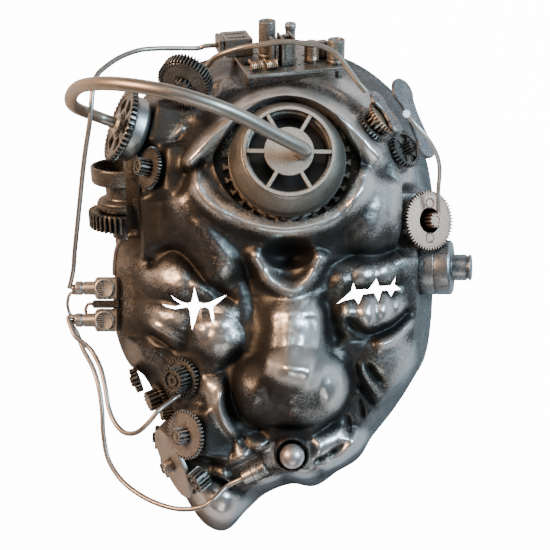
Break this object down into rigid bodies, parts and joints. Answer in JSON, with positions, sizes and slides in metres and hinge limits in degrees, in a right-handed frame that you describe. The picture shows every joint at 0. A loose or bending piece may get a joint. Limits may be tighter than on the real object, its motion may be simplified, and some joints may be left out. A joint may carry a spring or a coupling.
{
  "type": "steampunk cyclops mask",
  "caption": "Full face mask of a one-eyed old head in antique silver, with a barred lens eye, a bent pipe, toothed wheels, plugs and leads; lies face up on its flat rim.",
  "frame": {"origin": "centre of the bounding box's bottom, on the plane of the mask's flat rim", "axes": "+X the viewer's right, +Y towards the forehead, +Z the way the face looks, which is up as it lies"},
  "size_m": [0.1958, 0.2485, 0.1165],
  "materials": {
    "antique_silver": "antique silver metallic paint, rubbed bright on the high places",
    "bright_silver": "warm silver, half polished",
    "dark_steel": "gunmetal paint, worn edges",
    "bronze_grey": "bronze-grey metallic paint, satin",
    "copper_wash": "copper washed, darkened in the gaps"
  },
  "bodies": {
    "root": {"mask_shell": "antique_silver", "drum_gear": "antique_silver", "temple_gear": "antique_silver", "crest_gear": "antique_silver", "spool_gear": "antique_silver", "side_bolt": "antique_silver", "mouth_cup": "antique_silver", "link_cover_front": "antique_silver", "link_cover_back": "antique_silver", "cheek_gear_upper": "antique_silver", "cheek_gear_lower": "antique_silver", "cheek_pinion": "antique_silver", "eye_grille": "bright_silver", "drum_cup": "bright_silver", "drum_hub": "bright_silver", "round_cap": "bright_silver", "side_lead": "bright_silver", "mouth_ball": "bright_silver", "mouth_jack": "bright_silver", "eye_crown_ring": "dark_steel", "crest_gear_post": "dark_steel", "circuit_board": "dark_steel", "flat_chip": "dark_steel", "coil": "dark_steel", "link_gear_front": "dark_steel", "link_gear_back": "dark_steel", "plug_bracket": "dark_steel", "cheek_disc": "dark_steel", "cheek_roller": "dark_steel", "edge_gear_1": "dark_steel", "edge_gear_2": "dark_steel", "edge_gear_3": "dark_steel", "edge_gear_4": "dark_steel", "eye_bezel": "bronze_grey", "eye_pipe": "bronze_grey", "spool_body": "bronze_grey", "spool_foot": "bronze_grey", "connector_box": "bronze_grey", "capacitor_left": "bronze_grey", "capacitor_right": "bronze_grey", "small_block": "bronze_grey", "tall_block": "bronze_grey", "tilted_chip": "bronze_grey", "arch_tube": "bronze_grey", "plug_upper": "bronze_grey", "plug_lower": "bronze_grey", "cheek_hub": "bronze_grey", "crown_lead": "bronze_grey", "cheek_lead": "bronze_grey", "mouth_lead": "bronze_grey", "spool_lead": "bronze_grey", "jumper_outer": "bronze_grey", "jumper_inner": "bronze_grey", "brass_curl_left": "copper_wash", "brass_curl_right": "copper_wash", "link_gear_middle": "copper_wash", "copper_gear": "copper_wash"}
  },
  "joints": []
}
